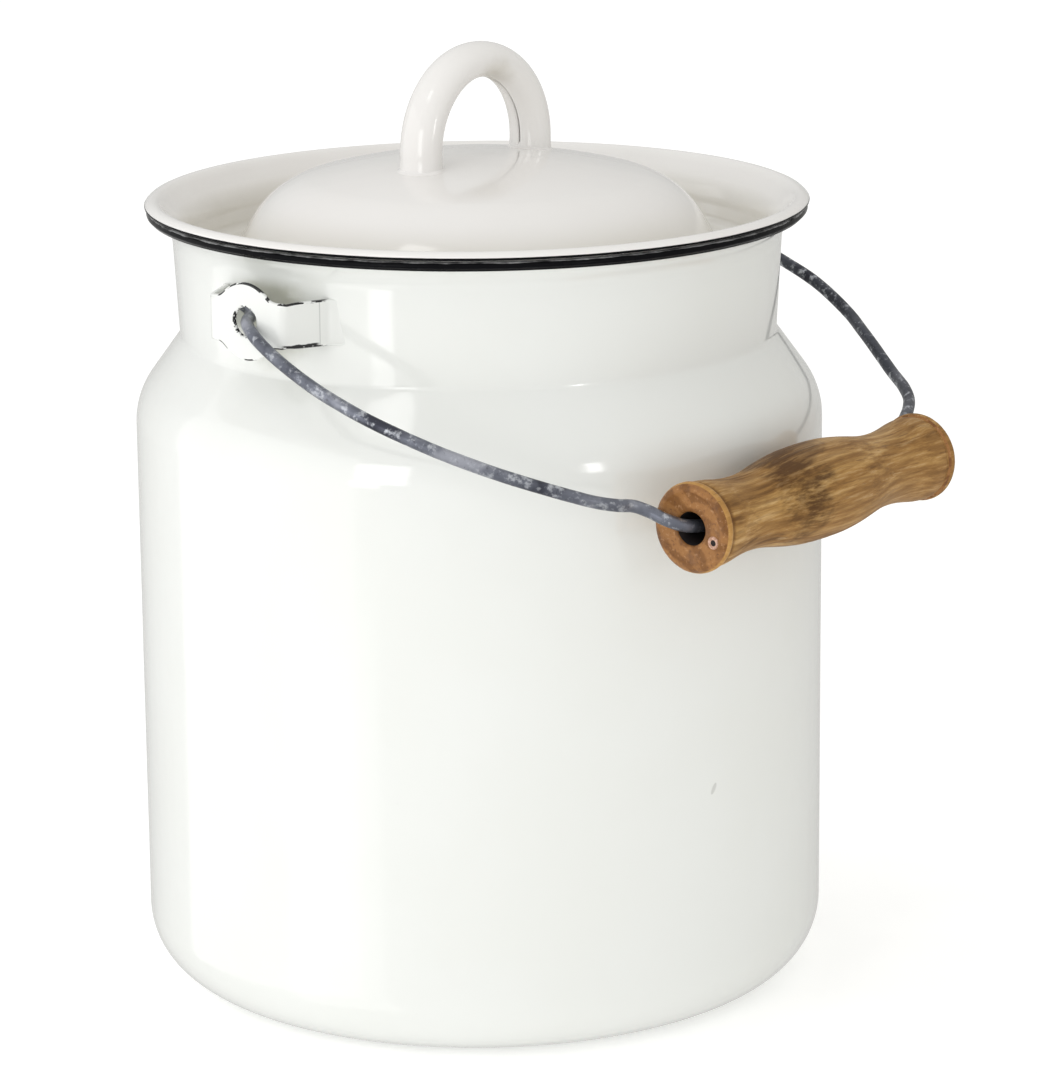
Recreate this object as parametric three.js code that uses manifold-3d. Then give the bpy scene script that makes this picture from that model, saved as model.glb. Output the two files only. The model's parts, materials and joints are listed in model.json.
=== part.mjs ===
// Enamelled steel milk pail with a lid and a swinging wire bail that carries a turned wooden grip.
//
// Millimetres, +Z up. The origin is the centre of the flat base, so the pail stands on z = 0.
// X runs along the bail's pivot line, through both ears. The bail rests against the wall at -Y.
// The bail was bent by hand, so it hangs a little towards +X of the pail's middle.

import * as THREE from "three";
import { mergeVertices } from "three/addons/utils/BufferGeometryUtils.js";
import Module from "manifold-3d";

// Driving dimensions

const GAP = 0.35; // clearance left between touching pieces
const SHEET = 1.2; // steel with enamel on both faces
const TURN_STEPS = 40; // facets round every piece that is turned about the pail's axis
const WELD = 1e-3; // vertices closer than this are one

const WALL_R = 90; // straight wall
const BASE_CORNER_R = 18; // rounded edge between the base and the wall
const SHOULDER_Z = 149; // the wall ends and the shoulder begins
const SHOULDER_R = 20; // rounding between the wall and the shoulder's cone
const SHOULDER_LEAN = 35; // the cone's lean from vertical, in degrees
const NECK_LOW_R = 78; // neck where it leaves the shoulder
const NECK_LOW_Z = 173;
const NECK_FOLD = 1.2; // height of the small fold between the shoulder's cone and the neck
const NECK_TOP_R = 79.2; // neck where the flare begins
const NECK_TOP_Z = 196;
const FLARE_R = 7.5; // radius of the flare's curve
const FLARE_TURN = 64.5; // how far the flare turns outwards, in degrees

const BEAD_R = 1.3; // rolled mouth edge, black
const BEAD_CENTRE_R = 84.6;
const BEAD_CENTRE_Z = 204.1;

const LID_SHEET = 1.1;
const LID_CREST_R = 83.9; // highest line of the lid's flange
const LID_CREST_Z = 207.7;
const LID_RIM_R = 86.2; // outside of the flange
const LID_RIM_DROP = 0.9; // the flange's outside edge is this far below its crest
const LID_UNDER_RISE = 2.6; // underside of the flange, above the middle of the mouth's bead
const LID_EDGE_HEIGHT = 0.6; // the black edge under the flange
const LID_EDGE_OUT = 0.15; // and how far it stands out past the flange
const LID_WELL_Z = 191; // floor of the sunken ring round the dome
const LID_WELL_OUTER_R = 75.6;
const LID_WELL_FILLET = 3;
const DOME_TOP_Z = 218;
const DOME_CROWN_R = 180; // radius of the dome's crown
const DOME_CROWN_TURN = 14; // the crown falls to this slope, in degrees
const DOME_EDGE_R = 25; // rounding between the crown and the dome's side
const DOME_SIDE_SLOPE = 60; // the side's slope down to the sunken ring, in degrees

// The flange over its crest, up to its outside edge, as (out, up) from the crest's highest line.
const LID_CREST_OUTLINE = [[-2, -1.3], [-0.9, -0.25], [0, 0], [1.1, -0.25]];
// The flange's underside where it climbs over the mouth's bead, as (out, up) from the bead's middle.
const OVER_BEAD_OUTLINE = [[-2, 0.9], [-1.3, 1.9], [-1.1, LID_UNDER_RISE]];

const ARCH_HALF_SPAN = 22; // lid handle, from its middle to the centre of a leg
const ARCH_HALF_THICK = 4.6; // the rolled strap is an oval tube, flatter in the arch's own plane
const ARCH_HALF_WIDTH = 5.9;
const ARCH_SHEET = 1.2;
const ARCH_SEAM = 1; // width of the open seam along the inside
const ARCH_TOP_Z = 247; // overall height of the pail
const ARCH_STEPS = 30;
const LEG_SINK = 8; // a leg starts this far below the dome's top, and the dome trims it
const DOME_CUT_TURN = 22; // the part of the dome that trims the legs, in degrees from its middle
const DOME_CUT_DEPTH = 30;

const PIVOT_Z = 187.9; // the bail's pivot line
const EYE_FACE_X = 89.5; // outer face of an ear's eye
const EYE_R = 9.8;
const EYE_HOLE_R = 3.6;
const EYE_STEPS = 32;
const STRAP_HEIGHT = 11.7;
const STRAP_FOLD_Y = 11.7; // the strap folds back towards the neck here
const STRAP_FOLD_LENGTH = 0.9; // the fold starts this far before
const STRAP_FOLD_DEPTH = 0.5; // and has fallen by this much
const STRAP_LAND_Y = 16.4; // and meets the neck here
const STRAP_END_Y = 20.5;

const WIRE_R = 1.6;
const WIRE_SIDES = 8;
const WIRE_STEPS = 100;
const BAIL_DROP = 24; // the bail rests this far below horizontal, in degrees

const GRIP_LENGTH = 99;
const GRIP_BORE_R = 4.2;
const GRIP_MIDDLE_X = 5; // the bail's hand-bent arms set the grip off centre
const GRIP_REACH = 113; // from the pivot line to the grip's axis
const GRIP_STEPS = 24;

const wasm = await Module();
wasm.setup();

const whiteEnamel = () => new THREE.MeshStandardMaterial({ color: 0xf1f1ec, roughness: 0.16, metalness: 0 });
const blackEnamel = () => new THREE.MeshStandardMaterial({ color: 0x0b0c0f, roughness: 0.2, metalness: 0 });
const zincWire = () => new THREE.MeshStandardMaterial({ color: 0x6f7680, roughness: 0.42, metalness: 0.9 });
const turnedWood = () => new THREE.MeshStandardMaterial({ color: 0xb48a57, roughness: 0.55, metalness: 0 });

// Helpers

const radians = (degrees) => (degrees * Math.PI) / 180;
const point = (x, y) => new THREE.Vector2(x, y);

// Points on part of a circle, from one angle to another, in degrees.
function arc(centreX, centreY, radius, from, to, steps) {
  const points = [];
  for (let i = 0; i <= steps; i += 1) {
    const angle = radians(from + ((to - from) * i) / steps);
    points.push(point(centreX + radius * Math.cos(angle), centreY + radius * Math.sin(angle)));
  }
  return points;
}

// The line a set distance to the left of a line of points, for the second face of a sheet.
function offsetLeft(points, distance) {
  return points.map((here, i) => {
    const before = points[Math.max(i - 1, 0)];
    const after = points[Math.min(i + 1, points.length - 1)];
    const into = here.clone().sub(before).normalize();
    const away = after.clone().sub(here).normalize();
    const normal = point(-into.y - away.y, into.x + away.x).normalize();
    const square = i === 0 || i === points.length - 1 ? 1 : normal.dot(point(-away.y, away.x));
    return here.clone().add(normal.multiplyScalar(distance / square));
  });
}

// A profile of (radius, height) points turned about the Z axis.
function turned(profile, steps = TURN_STEPS) {
  return new THREE.LatheGeometry(profile, steps).rotateX(Math.PI / 2);
}

function solidFrom(geometry) {
  const bare = geometry.clone();
  bare.deleteAttribute("normal");
  bare.deleteAttribute("uv");
  const merged = mergeVertices(bare, WELD);
  const vertProperties = new Float32Array(merged.attributes.position.array);
  const triVerts = new Uint32Array(merged.index.array);
  return new wasm.Manifold(new wasm.Mesh({ numProp: 3, vertProperties, triVerts }));
}

function geometryFrom(solid) {
  const { vertProperties, triVerts } = solid.getMesh();
  const geometry = new THREE.BufferGeometry();
  geometry.setAttribute("position", new THREE.BufferAttribute(vertProperties, 3));
  geometry.setIndex(new THREE.BufferAttribute(triVerts, 1));
  return geometry;
}

function piece(name, geometry, material) {
  const mesh = new THREE.Mesh(geometry, material);
  mesh.name = name;
  return mesh;
}

// Pail

// The shell's outside, from the middle of the base up to the end of the flare.
function shellOutside() {
  const coneR = WALL_R - SHOULDER_R * (1 - Math.cos(radians(SHOULDER_LEAN)));
  const coneZ = SHOULDER_Z + SHOULDER_R * Math.sin(radians(SHOULDER_LEAN));
  const coneRise = (coneR - NECK_LOW_R) / Math.tan(radians(SHOULDER_LEAN));
  return [
    point(0, 0),
    point((WALL_R - BASE_CORNER_R) / 2, 0),
    ...arc(WALL_R - BASE_CORNER_R, BASE_CORNER_R, BASE_CORNER_R, -90, 0, 7),
    ...arc(WALL_R - SHOULDER_R, SHOULDER_Z, SHOULDER_R, 0, SHOULDER_LEAN, 4),
    point(NECK_LOW_R + NECK_FOLD / 3, coneZ + coneRise - NECK_FOLD),
    point(NECK_LOW_R, NECK_LOW_Z + NECK_FOLD / 2),
    ...arc(NECK_TOP_R + FLARE_R, NECK_TOP_Z, FLARE_R, 180, 180 - FLARE_TURN, 5),
  ];
}

function pailShell() {
  const outside = shellOutside();
  const inside = offsetLeft(outside, SHEET).reverse();
  inside[inside.length - 1].x = 0;
  return piece("pail_shell", turned([...outside, ...inside]), whiteEnamel());
}

// The rolled edge at the end of the flare.
function mouthBead() {
  const section = arc(BEAD_CENTRE_R, BEAD_CENTRE_Z, BEAD_R, 0, 360, 10);
  return piece("mouth_bead", turned(section), blackEnamel());
}

// The strap of an ear seen from above, at +X: two feet on the neck, two ramps and a flat middle.
function strapPlan() {
  const footR = NECK_TOP_R + GAP + SHEET;
  const footAt = (y) => point(Math.sqrt(footR * footR - y * y), y);
  const half = [
    point(EYE_FACE_X, STRAP_FOLD_Y - STRAP_FOLD_LENGTH),
    point(EYE_FACE_X - STRAP_FOLD_DEPTH, STRAP_FOLD_Y),
    footAt(STRAP_LAND_Y),
    footAt((STRAP_LAND_Y + STRAP_END_Y) / 2),
    footAt(STRAP_END_Y),
  ];
  const mirrored = half.map((p) => point(p.x, -p.y)).reverse();
  const outer = [...mirrored, ...half];
  return [...outer, ...offsetLeft(outer, SHEET).reverse()];
}

// An ear at +X: a strap bracket with a round raised eye, both cut through by the bail's hole.
function earGeometry() {
  const strap = new THREE.ExtrudeGeometry(new THREE.Shape(strapPlan()), {
    depth: STRAP_HEIGHT,
    bevelEnabled: false,
    curveSegments: 1,
  }).translate(0, 0, PIVOT_Z - STRAP_HEIGHT / 2);
  const disc = (radius, length) =>
    new THREE.CylinderGeometry(radius, radius, length, EYE_STEPS)
      .rotateZ(Math.PI / 2)
      .translate(EYE_FACE_X - SHEET / 2, 0, PIVOT_Z);
  const ear = solidFrom(strap).add(solidFrom(disc(EYE_R, SHEET)));
  return geometryFrom(ear.subtract(solidFrom(disc(EYE_HOLE_R, SHEET * 3))));
}

function ear(name, turn) {
  const mesh = piece(name, earGeometry(), whiteEnamel());
  mesh.rotation.z = turn;
  return mesh;
}

// Lid

// The lid's upper face, from the middle of the dome out to the crest and round its edge.
function lidUpper() {
  const flareCentreR = NECK_TOP_R + FLARE_R;
  const seatR = FLARE_R + SHEET + GAP + LID_SHEET;
  const edgeTop = 90 - DOME_CROWN_TURN;
  const edgeEnd = 90 - DOME_SIDE_SLOPE;
  const crownZ = DOME_TOP_Z - DOME_CROWN_R;
  const edgeCentreR = (DOME_CROWN_R - DOME_EDGE_R) * Math.cos(radians(edgeTop));
  const edgeCentreZ = crownZ + (DOME_CROWN_R - DOME_EDGE_R) * Math.sin(radians(edgeTop));
  const sideR = edgeCentreR + DOME_EDGE_R * Math.cos(radians(edgeEnd));
  const sideZ = edgeCentreZ + DOME_EDGE_R * Math.sin(radians(edgeEnd));
  const filletZ = LID_WELL_Z + LID_WELL_FILLET;
  const fall = sideZ - filletZ + LID_WELL_FILLET * Math.sin(radians(edgeEnd));
  const filletR = sideR + LID_WELL_FILLET * Math.cos(radians(edgeEnd)) + fall * Math.tan(radians(edgeEnd));
  return [
    ...arc(0, crownZ, DOME_CROWN_R, 90, edgeTop, 5),
    ...arc(edgeCentreR, edgeCentreZ, DOME_EDGE_R, edgeTop, edgeEnd, 5).slice(1),
    ...arc(filletR, filletZ, LID_WELL_FILLET, 180 + edgeEnd, 270, 3),
    ...arc(LID_WELL_OUTER_R - LID_WELL_FILLET, filletZ, LID_WELL_FILLET, -90, 0, 3),
    ...arc(flareCentreR, NECK_TOP_Z, seatR, 180, 130, 4),
    ...LID_CREST_OUTLINE.map(([out, up]) => point(LID_CREST_R + out, LID_CREST_Z + up)),
    point(LID_RIM_R, LID_CREST_Z - LID_RIM_DROP),
  ];
}

function lidShell() {
  const upper = lidUpper();
  const lower = offsetLeft(upper, -LID_SHEET).slice(0, -LID_CREST_OUTLINE.length - 1);
  lower[0].x = 0;
  const overBead = [
    ...OVER_BEAD_OUTLINE.map(([out, up]) => point(BEAD_CENTRE_R + out, BEAD_CENTRE_Z + up)),
    point(LID_RIM_R, BEAD_CENTRE_Z + LID_UNDER_RISE),
  ];
  const profile = [...lower, ...overBead, ...upper.reverse()];
  return piece("lid_shell", turned(profile), whiteEnamel());
}

// The thin black edge under the rim of the lid, just above the mouth's bead.
function lidEdgeBead() {
  const low = BEAD_CENTRE_Z + BEAD_R + GAP;
  const high = low + LID_EDGE_HEIGHT;
  const inside = BEAD_CENTRE_R - BEAD_R / 2;
  const section = [
    point(inside, low),
    point(LID_RIM_R - LID_EDGE_OUT, low),
    point(LID_RIM_R + LID_EDGE_OUT, (low + high) / 2),
    point(LID_RIM_R, high),
    point(inside, high),
    point(inside, low),
  ];
  return piece("lid_edge_bead", turned(section), blackEnamel());
}

// A strap rolled into an oval tube, seen along the tube, with its open seam on the inside of the arch.
function archSection() {
  const oval = (inset, from, to, steps) =>
    arc(0, 0, 1, from, to, steps).map((p) =>
      point(p.y * (ARCH_HALF_WIDTH - inset), p.x * (ARCH_HALF_THICK - inset)),
    );
  const seam = (inset) => THREE.MathUtils.radToDeg(Math.asin(ARCH_SEAM / 2 / (ARCH_HALF_WIDTH - inset)));
  const outer = oval(0, seam(0), 360 - seam(0), 16);
  const inner = oval(ARCH_SHEET, 360 - seam(ARCH_SHEET), seam(ARCH_SHEET), 12);
  return new THREE.Shape([...outer, ...inner]);
}

// The lid's handle: two legs and a half-round top, trimmed to the dome.
function lidHandle() {
  const topZ = ARCH_TOP_Z - ARCH_HALF_THICK;
  const bendZ = topZ - ARCH_HALF_SPAN;
  const path = new THREE.CurvePath();
  const footZ = DOME_TOP_Z - LEG_SINK;
  const at = (x, z) => new THREE.Vector3(x, 0, z);
  class Bend extends THREE.Curve {
    getPoint(t, target = new THREE.Vector3()) {
      const angle = Math.PI * (1 - t);
      return target.set(ARCH_HALF_SPAN * Math.cos(angle), 0, bendZ + ARCH_HALF_SPAN * Math.sin(angle));
    }
  }
  path.add(new THREE.LineCurve3(at(-ARCH_HALF_SPAN, footZ), at(-ARCH_HALF_SPAN, bendZ)));
  path.add(new Bend());
  path.add(new THREE.LineCurve3(at(ARCH_HALF_SPAN, bendZ), at(ARCH_HALF_SPAN, footZ)));
  const tube = new THREE.ExtrudeGeometry(archSection(), { steps: ARCH_STEPS, extrudePath: path });
  const crownR = DOME_CROWN_R + GAP;
  const domeTop = arc(0, DOME_TOP_Z - DOME_CROWN_R, crownR, 90 - DOME_CUT_TURN, 90, 5);
  const cutZ = DOME_TOP_Z - DOME_CUT_DEPTH;
  const dome = turned([point(0, cutZ), point(domeTop[0].x, cutZ), ...domeTop]);
  return piece("lid_handle", geometryFrom(solidFrom(tube).subtract(solidFrom(dome))), whiteEnamel());
}

// Bail

// The wire's middle line in the bail's own plane: x along the pivot line, y away from it.
// Each end is a hook behind its ear, and each arm kinks just before the grip's bore.
const HOOK = [[83.4, -8], [83.5, -4.6], [85.2, -1.9], [88.9, 0.2]];
const LEFT_ARM = [
  [91.6, 4.4], [93.9, 12], [95, 22], [94.3, 37], [91, 50], [86, 61.3], [79.8, 71.3], [72.1, 81.9],
  [64.7, 90.9], [60.3, 95.2], [55.4, 98.2], [51.3, 100], [48.9, 103.5], [47.5, 107.4], [44.8, 111], [39.5, 113],
];
const RIGHT_ARM = [
  [92, 4.2], [96.3, 10.6], [100, 18.4], [101.8, 28], [101.7, 39.7], [97.9, 53.5], [93.4, 62.3], [84, 80.1],
  [80.6, 86.8], [76.6, 91.8], [71.3, 95.5], [65.6, 98.4], [61.6, 100.6], [59, 104.4], [57.4, 108.2],
  [54.6, 111.4], [49.5, 113],
];

function bailWire() {
  const left = [...HOOK, ...LEFT_ARM].map(([x, y]) => new THREE.Vector3(-x, -y, 0));
  const right = [...HOOK, ...RIGHT_ARM].map(([x, y]) => new THREE.Vector3(x, -y, 0));
  const middle = new THREE.Vector3(GRIP_MIDDLE_X, -GRIP_REACH, 0);
  const path = new THREE.CatmullRomCurve3([...left, middle, ...right.reverse()], false, "centripetal");
  const section = new THREE.Shape(arc(0, 0, WIRE_R, 0, 360 - 360 / WIRE_SIDES, WIRE_SIDES - 1));
  const wire = new THREE.ExtrudeGeometry(section, { steps: WIRE_STEPS, extrudePath: path });
  return piece("bail_wire", wire, zincWire());
}

// Half of the grip's outside, from one end face to the middle: distance along it, and radius.
const GRIP_HALF = [
  [0, 9.9], [0.6, 10.9], [1.8, 11.5], [3, 11.3], [3.6, 10.8], [4.4, 11.1], [8, 10.8],
  [13, 10.1], [19, 9.6], [25, 9.9], [31, 10.8], [37, 11.7], [43, 12.3], [49.5, 12.5],
];

function woodGrip() {
  const along = (u) => u - GRIP_LENGTH / 2;
  const first = GRIP_HALF.map(([u, r]) => point(r, along(u)));
  const second = GRIP_HALF.slice(0, -1).map(([u, r]) => point(r, along(GRIP_LENGTH - u)));
  const bore = [point(GRIP_BORE_R, along(GRIP_LENGTH)), point(GRIP_BORE_R, along(0))];
  const profile = [...first, ...second.reverse(), ...bore, first[0].clone()];
  const grip = piece("wood_grip", turned(profile, GRIP_STEPS).rotateY(Math.PI / 2), turnedWood());
  grip.position.set(GRIP_MIDDLE_X, -GRIP_REACH, 0);
  return grip;
}

// The pail stands still, the lid lies in its mouth, and the bail hangs from the pivot line.

const pail = new THREE.Group();
pail.add(pailShell(), mouthBead(), ear("ear_right", 0), ear("ear_left", Math.PI));

const lid = new THREE.Group();
lid.add(lidShell(), lidEdgeBead(), lidHandle());

const bail = new THREE.Group();
bail.position.z = PIVOT_Z;
bail.rotation.x = radians(BAIL_DROP);
bail.add(bailWire(), woodGrip());

const milkPail = new THREE.Group();
milkPail.add(pail, lid, bail);

export default milkPail;
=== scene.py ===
import json
import math

import bmesh
import bpy
from mathutils import Matrix, Vector, noise


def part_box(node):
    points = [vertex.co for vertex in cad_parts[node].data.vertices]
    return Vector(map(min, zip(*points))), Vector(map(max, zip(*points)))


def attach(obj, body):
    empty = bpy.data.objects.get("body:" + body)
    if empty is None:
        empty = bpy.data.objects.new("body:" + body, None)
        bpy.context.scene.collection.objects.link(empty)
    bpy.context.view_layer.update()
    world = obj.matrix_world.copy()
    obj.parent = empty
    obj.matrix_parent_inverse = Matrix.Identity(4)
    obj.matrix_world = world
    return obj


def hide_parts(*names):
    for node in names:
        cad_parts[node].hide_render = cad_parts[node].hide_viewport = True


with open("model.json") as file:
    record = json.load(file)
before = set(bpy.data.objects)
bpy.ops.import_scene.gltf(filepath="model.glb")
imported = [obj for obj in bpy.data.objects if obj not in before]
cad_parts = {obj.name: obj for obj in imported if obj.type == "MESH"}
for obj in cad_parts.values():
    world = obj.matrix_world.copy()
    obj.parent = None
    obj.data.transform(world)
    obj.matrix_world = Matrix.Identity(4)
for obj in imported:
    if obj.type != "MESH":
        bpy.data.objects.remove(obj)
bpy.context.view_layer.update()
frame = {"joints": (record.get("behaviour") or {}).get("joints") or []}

# An enamelled milk pail: the shell with its black rolled mouth, two strap ears, a domed lid with an
# arch handle, a galvanised wire bail and a turned wooden grip. Nine pieces each stand for a CAD node,
# at its place, with a finer surface; the fillets at the handle's feet and the grip's pin hole have no
# node. The sizes below are millimetres and degrees.

MM = 0.001
TAU = 2 * math.pi

JOINTS = {joint["name"]: joint for joint in frame["joints"]}
PIVOT_Z = JOINTS["bail_swing"]["pos_m"][2] / MM
GRIP_AXIS = Vector(JOINTS["grip_spin"]["pos_m"]) / MM


def box_mm(node):
    low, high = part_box(node)
    return low / MM, high / MM


SHEET_STEPS = 192
BEAD_STEPS = 360

# Driving sizes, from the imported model

WALL_R = box_mm("pail_shell")[1].x
BEAD_LOW, BEAD_HIGH = box_mm("mouth_bead")
EDGE_LOW, EDGE_HIGH = box_mm("lid_edge_bead")
LID_HIGH = box_mm("lid_shell")[1]
ARCH_HIGH = box_mm("lid_handle")[1]
EYE_FACE_X = box_mm("ear_right")[1].x
GRIP_LOW, GRIP_HIGH = box_mm("wood_grip")

# Pail

SHEET = 1.2
BASE_CORNER_R = 18
SHOULDER_Z = 149
SHOULDER_R = 20
SHOULDER_LEAN = 35
NECK_LOW_R = 78
NECK_LOW_Z = 173
NECK_TOP_R = 79.2
NECK_TOP_Z = 196
FLARE_R = 7.5
FLARE_TURN = 64.5
BEAD_R = (BEAD_HIGH.z - BEAD_LOW.z) / 2
BEAD_CENTRE_R = BEAD_HIGH.x - BEAD_R
BEAD_CENTRE_Z = (BEAD_HIGH.z + BEAD_LOW.z) / 2

# Lid

LID_SHEET = 1.1
GAP = 0.35
LID_CREST_R = 83.9
LID_CREST_Z = 207.7
LID_RIM_R = LID_HIGH.x
LID_WELL_Z = 191
LID_WELL_OUTER_R = 75.6
DOME_TOP_Z = LID_HIGH.z
DOME_CROWN_R = 180
DOME_CROWN_TURN = 14
DOME_EDGE_R = 25
DOME_SIDE_SLOPE = 60
WELL_FILLET = 3
LID_RIM_DROP = 1.25
LID_EDGE_DROP = 1.2
# The flange over its crest, as (out, up) from the crest's highest line.
LID_CREST_OUTLINE = [
    (-2.6, -1.95), (-1.9, -1.15), (-1.2, -0.45), (-0.6, -0.1), (0, 0), (0.7, -0.1), (1.4, -0.4), (1.85, -0.8),
]
# The flange's underside where it climbs over the mouth's bead, as (out, up) from the bead's middle.
OVER_BEAD_OUTLINE = [(-2, 1), (-1.3, 1.65), (-0.7, 2)]

# Lid handle

ARCH_HALF_SPAN = 22
ARCH_HALF_THICK = 4.6
ARCH_HALF_WIDTH = 5.9
ARCH_SHEET = 1.2
ARCH_SEAM_HALF = 0.2
ARCH_FILLET = 1.8
ARCH_OUTER_STEPS = 44
ARCH_INNER_STEPS = 24

# Ears

EYE_R = 9.8
EYE_HOLE_R = 3.6
STRAP_HALF_HEIGHT = 5.85
STRAP_FOLD_Y = 11.7
STRAP_LAND_Y = 16.4
STRAP_END_Y = 21.5
EAR_EDGE_ROUND = 0.5
EAR_EDGE_STEPS = 8
EAR_ARC_STEPS = 48
EAR_STRAP_STEPS = 34

# Bail

WIRE_R = 1.6
WIRE_SIDES = 24
WIRE_WANDER = 0.45
BAIL_DROP = math.degrees(math.atan2(PIVOT_Z - GRIP_AXIS.z, -GRIP_AXIS.y))
GRIP_REACH = math.hypot(PIVOT_Z - GRIP_AXIS.z, GRIP_AXIS.y)
# The wire's middle line in the bail's own plane, as (out along the pivot line, away from it): the hook
# behind an ear, then each arm with its kinks just before the grip's bore.
HOOK = [(83.4, -8), (83.5, -4.6), (85.2, -1.9), (88.9, 0.2)]
LEFT_ARM = [
    (91.6, 4.4), (93.9, 12), (95, 22), (94.3, 37), (91, 50), (86, 61.3), (79.8, 71.3), (72.1, 81.9),
    (64.7, 90.9), (60.3, 95.2), (55.4, 98.2), (51.3, 100), (48.9, 103.5), (47.5, 107.4), (44.8, 111),
    (39.5, 113),
]
RIGHT_ARM = [
    (92, 4.2), (96.3, 10.6), (100, 18.4), (101.8, 28), (101.7, 39.7), (97.9, 53.5), (93.4, 62.3),
    (84, 80.1), (80.6, 86.8), (76.6, 91.8), (71.3, 95.5), (65.6, 98.4), (61.6, 100.6), (59, 104.4),
    (57.4, 108.2), (54.6, 111.4), (49.5, 113),
]

# Grip

GRIP_LENGTH = GRIP_HIGH.x - GRIP_LOW.x
GRIP_R = (GRIP_HIGH - GRIP_LOW).z / 2
BORE_R = 4.2
GRIP_STEPS = 128
# Half of the grip's outside, from one end face to the middle: (distance along it, radius).
GRIP_HALF = [
    (0, 9.6), (0.25, 10.35), (0.8, 11), (1.5, 11.45), (2.2, 11.55), (2.8, 11.35), (3.2, 10.95), (3.5, 10.75),
    (3.9, 10.8), (4.6, 11.0), (6, 11.0), (8.5, 10.75), (12, 10.2), (16, 9.75), (20, 9.6), (24, 9.75),
    (28, 10.25), (32, 10.95), (36, 11.6), (40, 12.1), (44, 12.38), (49.5, 12.5),
]
GRIP_HALF_R = GRIP_HALF[-1][1]

# Camera: a long lens, level with the lid and looking a little down

CAMERA_AZIMUTH = -50
CAMERA_DISTANCE = 1169.46
CAMERA_HEIGHT = 409.81
CAMERA_YAW = 0.487
CAMERA_DIP = 14.138
CAMERA_ROLL = -0.549
CAMERA_LENS = 152.68
CAMERA_SENSOR = 36

# Room light: brighter on the camera's left, a little warm where it is dim

BRIGHT_SIDE = -60
ROOM_LEVEL = 0.545
ROOM_SIDE = 0.18
ROOM_ABOVE = 0.31
ROOM_TINT = (0.985, 0.992, 1.0)
ROOM_TINT_DIM = (1.0, 0.988, 0.955)
FLOOR_REACH = 6.0

# Soft lights: azimuth and elevation from the camera's direction, distance in metres, the angles that the
# light covers across and up, and radiance.
LIGHTS = {
    "window_left": (-79, 0, 1.4, 76, 66, 0.5),
    "window_near": (-31.5, 9, 1.7, 18, 26, 2.4),
    "window_far": (37, 13, 1.7, 5, 12, 6),
    "table_glow": (-50, -30, 1.3, 32, 30, 0.5),
    "window_high": (-43, 57, 1.5, 13, 10, 2.2),
    "neck_glint": (-31, 1, 0.25, 8, 6, 2.2),
}


# ---- mesh helpers


def arc(centre_x, centre_y, radius, start, end, steps):
    """Points on part of a circle, from one angle to another, in degrees."""
    points = []
    for i in range(steps + 1):
        angle = math.radians(start + (end - start) * i / steps)
        points.append((centre_x + radius * math.cos(angle), centre_y + radius * math.sin(angle)))
    return points


def offset_left(points, distance):
    """The line a set distance to the left of a line of points."""
    moved = []
    last = len(points) - 1
    for i, (x, y) in enumerate(points):
        into = Vector((x, y)) - Vector(points[max(i - 1, 0)])
        away = Vector(points[min(i + 1, last)]) - Vector((x, y))
        into = into.normalized() if into.length else away.normalized()
        away = away.normalized() if away.length else into
        normal = Vector((-into.y - away.y, into.x + away.x)).normalized()
        square = normal.dot(Vector((-away.y, away.x)))
        moved.append((x + normal.x * distance / square, y + normal.y * distance / square))
    return moved


def refine(points, longest):
    """The same line with extra points, so that no stretch is longer than the given length."""
    fine = [points[0]]
    for a, b in zip(points, points[1:]):
        length = math.dist(a, b)
        count = max(1, math.ceil(length / longest))
        for i in range(1, count + 1):
            fine.append((a[0] + (b[0] - a[0]) * i / count, a[1] + (b[1] - a[1]) * i / count))
    return fine


def scene_object(name, data):
    item = bpy.data.objects.new(name, data)
    bpy.context.scene.collection.objects.link(item)
    return item


def mesh_object(name, vertices, faces):
    mesh = bpy.data.meshes.new(name)
    mesh.from_pydata([tuple(c * MM for c in v) for v in vertices], [], faces)
    mesh.validate()
    mesh.polygons.foreach_set("use_smooth", [True] * len(mesh.polygons))
    mesh.update()
    return scene_object(name, mesh)


def revolve(name, profile, steps, shift=None):
    """A profile of (radius, height) points turned about the Z axis. shift moves a point by its normal."""
    vertices, faces, rings = [], [], []
    for r, z in profile:
        if r < 1e-6:
            rings.append([len(vertices)] * steps)
            vertices.append((0, 0, z))
            continue
        ring = []
        for k in range(steps):
            angle = TAU * k / steps
            radius = r + (shift(angle, r, z) if shift else 0)
            ring.append(len(vertices))
            vertices.append((radius * math.cos(angle), radius * math.sin(angle), z))
        rings.append(ring)
    closed = math.dist(profile[0], profile[-1]) < 1e-6 and profile[0][0] > 1e-6
    if closed:
        rings[-1] = rings[0]
    for a, b in zip(rings, rings[1:]):
        for k in range(steps):
            n = (k + 1) % steps
            corners = [a[k], a[n], b[n], b[k]]
            face = [c for i, c in enumerate(corners) if c != corners[i - 1]]
            if len(set(face)) > 2:
                faces.append(face)
    piece = mesh_object(name, vertices, faces)
    drop_loose(piece)
    return piece


def drop_loose(piece):
    work = bmesh.new()
    work.from_mesh(piece.data)
    bmesh.ops.delete(work, geom=[v for v in work.verts if not v.link_faces], context="VERTS")
    bmesh.ops.recalc_face_normals(work, faces=work.faces)
    work.to_mesh(piece.data)
    work.free()


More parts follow.
